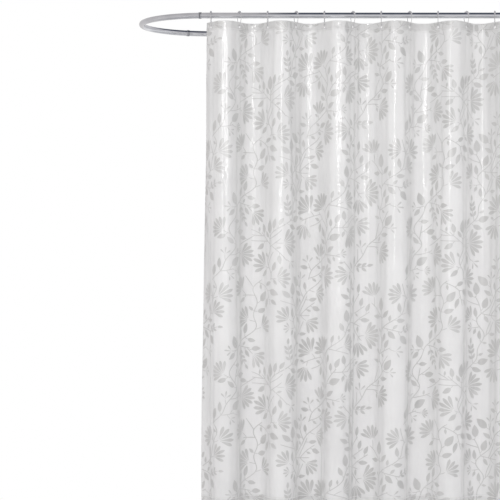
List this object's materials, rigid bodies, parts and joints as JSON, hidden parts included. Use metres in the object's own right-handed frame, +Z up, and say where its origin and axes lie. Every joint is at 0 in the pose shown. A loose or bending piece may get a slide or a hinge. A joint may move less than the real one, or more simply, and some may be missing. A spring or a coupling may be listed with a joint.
{
  "type": "shower curtain",
  "caption": "Translucent patterned shower curtain hung on open roller hooks from the front arm of a wall-mounted oval chrome ring; the hooks gather it to one side.",
  "frame": {"origin": "on the wall plane, midway between the two wall flanges, at the height of the ring's centreline", "axes": "+Y into the wall (the room is at -Y), +X along the wall, +Z up"},
  "size_m": [1.7678, 0.6855, 1.884],
  "materials": {
    "polished_chrome": "polished",
    "collar_chrome": "polished",
    "plain_steel": "plain",
    "hook_chrome": "polished",
    "clear_film": "translucent film with a silver-grey print",
    "header_film": "translucent film, doubled",
    "hem_film": "translucent film, doubled",
    "eyelet_plastic": "gloss"
  },
  "bodies": {
    "ring": {"ring_front_tube": "polished_chrome", "ring_back_tube": "polished_chrome", "ring_left_bend": "polished_chrome", "ring_right_bend": "polished_chrome", "joint_spigot_front_left": "plain_steel", "joint_collar_front_left": "collar_chrome", "joint_spigot_front_right": "plain_steel", "joint_collar_front_right": "collar_chrome", "joint_spigot_back_left": "plain_steel", "joint_collar_back_left": "collar_chrome", "joint_spigot_back_right": "plain_steel", "joint_collar_back_right": "collar_chrome", "left_wall_flange": "polished_chrome", "left_wall_post": "polished_chrome", "left_rod_saddle": "polished_chrome", "left_flange_screw_top": "plain_steel", "left_flange_screw_bottom": "plain_steel", "right_wall_flange": "polished_chrome", "right_wall_post": "polished_chrome", "right_rod_saddle": "polished_chrome", "right_flange_screw_top": "plain_steel", "right_flange_screw_bottom": "plain_steel"},
    "curtain": {"curtain_panel": "clear_film", "header_band": "header_film", "bottom_hem": "hem_film", "hook_12": "hook_chrome", "eyelet_12": "eyelet_plastic"},
    "carrier_01": {"hook_01": "hook_chrome", "eyelet_01": "eyelet_plastic"},
    "carrier_02": {"hook_02": "hook_chrome", "eyelet_02": "eyelet_plastic"},
    "carrier_03": {"hook_03": "hook_chrome", "eyelet_03": "eyelet_plastic"},
    "carrier_04": {"hook_04": "hook_chrome", "eyelet_04": "eyelet_plastic"},
    "carrier_05": {"hook_05": "hook_chrome", "eyelet_05": "eyelet_plastic"},
    "carrier_06": {"hook_06": "hook_chrome", "eyelet_06": "eyelet_plastic"},
    "carrier_07": {"hook_07": "hook_chrome", "eyelet_07": "eyelet_plastic"},
    "carrier_08": {"hook_08": "hook_chrome", "eyelet_08": "eyelet_plastic"},
    "carrier_09": {"hook_09": "hook_chrome", "eyelet_09": "eyelet_plastic"},
    "carrier_10": {"hook_10": "hook_chrome", "eyelet_10": "eyelet_plastic"},
    "carrier_11": {"hook_11": "hook_chrome", "eyelet_11": "eyelet_plastic"}
  },
  "joints": [
    {"name": "curtain_swing", "type": "hinge", "parent": "ring", "child": "curtain", "pos_m": [0, -0.636, 0], "axis": [1, 0, 0], "range_deg": [-14, 14]},
    {"name": "hook_01_slide", "type": "slide", "parent": "curtain", "child": "carrier_01", "axis": [1, 0, 0], "range_m": [0, 0.85], "deforming": ["curtain_panel", "header_band", "bottom_hem"]},
    {"name": "hook_02_slide", "type": "slide", "parent": "curtain", "child": "carrier_02", "axis": [1, 0, 0], "range_m": [0, 0.7732]},
    {"name": "hook_03_slide", "type": "slide", "parent": "curtain", "child": "carrier_03", "axis": [1, 0, 0], "range_m": [0, 0.696]},
    {"name": "hook_04_slide", "type": "slide", "parent": "curtain", "child": "carrier_04", "axis": [1, 0, 0], "range_m": [0, 0.6187]},
    {"name": "hook_05_slide", "type": "slide", "parent": "curtain", "child": "carrier_05", "axis": [1, 0, 0], "range_m": [0, 0.5414]},
    {"name": "hook_06_slide", "type": "slide", "parent": "curtain", "child": "carrier_06", "axis": [1, 0, 0], "range_m": [0, 0.4641]},
    {"name": "hook_07_slide", "type": "slide", "parent": "curtain", "child": "carrier_07", "axis": [1, 0, 0], "range_m": [0, 0.3869]},
    {"name": "hook_08_slide", "type": "slide", "parent": "curtain", "child": "carrier_08", "axis": [1, 0, 0], "range_m": [0, 0.3096]},
    {"name": "hook_09_slide", "type": "slide", "parent": "curtain", "child": "carrier_09", "axis": [1, 0, 0], "range_m": [0, 0.2323]},
    {"name": "hook_10_slide", "type": "slide", "parent": "curtain", "child": "carrier_10", "axis": [1, 0, 0], "range_m": [0, 0.155]},
    {"name": "hook_11_slide", "type": "slide", "parent": "curtain", "child": "carrier_11", "axis": [1, 0, 0], "range_m": [0, 0.0778]}
  ],
  "couplings": [
    {"joint": "hook_02_slide", "follows": "hook_01_slide", "ratio": 0.90909},
    {"joint": "hook_03_slide", "follows": "hook_01_slide", "ratio": 0.81818},
    {"joint": "hook_04_slide", "follows": "hook_01_slide", "ratio": 0.72727},
    {"joint": "hook_05_slide", "follows": "hook_01_slide", "ratio": 0.63636},
    {"joint": "hook_06_slide", "follows": "hook_01_slide", "ratio": 0.54546},
    {"joint": "hook_07_slide", "follows": "hook_01_slide", "ratio": 0.45454},
    {"joint": "hook_08_slide", "follows": "hook_01_slide", "ratio": 0.36364},
    {"joint": "hook_09_slide", "follows": "hook_01_slide", "ratio": 0.27273},
    {"joint": "hook_10_slide", "follows": "hook_01_slide", "ratio": 0.18182},
    {"joint": "hook_11_slide", "follows": "hook_01_slide", "ratio": 0.090909}
  ]
}
